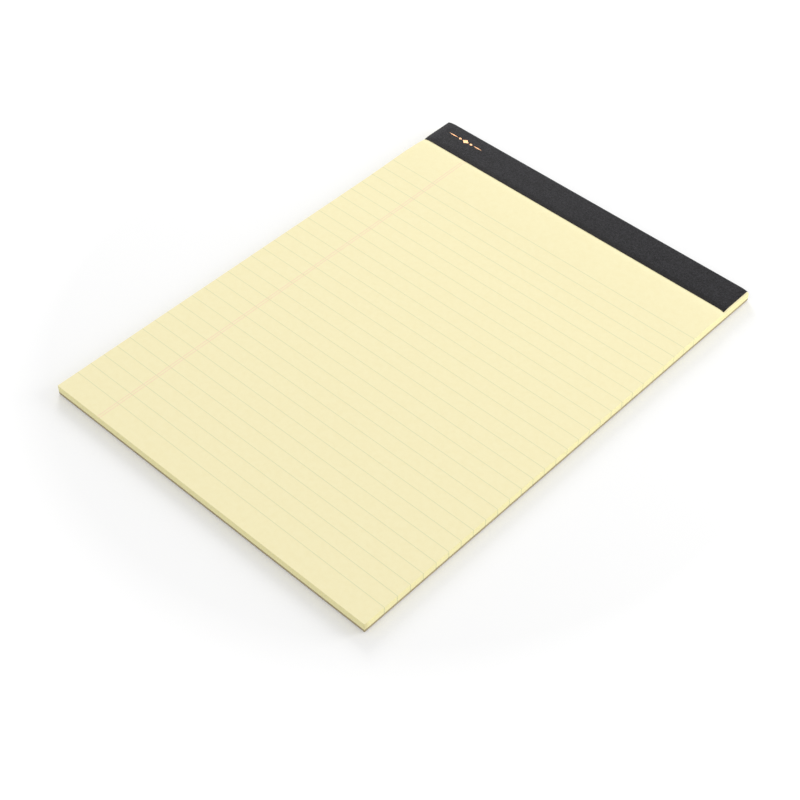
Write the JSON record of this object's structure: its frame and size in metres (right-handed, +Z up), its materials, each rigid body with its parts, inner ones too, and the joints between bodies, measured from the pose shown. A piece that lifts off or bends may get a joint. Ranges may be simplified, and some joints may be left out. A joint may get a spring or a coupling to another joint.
{
  "type": "legal pad",
  "caption": "Ruled writing pad of yellow sheets on a stiff backing board, stitched and bound along its head with a dark folded tape.",
  "frame": {"origin": "middle of the footprint, on the surface that the pad lies on, level with the underside of the tape", "axes": "+X across the pad to the right, +Y along the sheets to the bound head, +Z up out of the first sheet"},
  "size_m": [0.216, 0.2988, 0.0074],
  "materials": {
    "canary_paper": "uncoated canary writing paper, matt",
    "chipboard": "grey-brown uncoated chipboard with visible fibres",
    "binding_tape": "charcoal paper tape embossed with a fine leather-like grain, low sheen",
    "stitching_wire": "galvanised stitching wire",
    "rule_ink": "pale blue-green printed rules",
    "margin_ink": "pale red printed margin lines",
    "gold_foil": "hot-stamped gold foil, plain ornament"
  },
  "bodies": {
    "root": {"ruled_sheets": "canary_paper", "backing_board": "chipboard", "binding_tape": "binding_tape", "wire_stitch_1": "stitching_wire", "wire_stitch_2": "stitching_wire", "wire_stitch_3": "stitching_wire", "wire_stitch_4": "stitching_wire"}
  },
  "joints": []
}
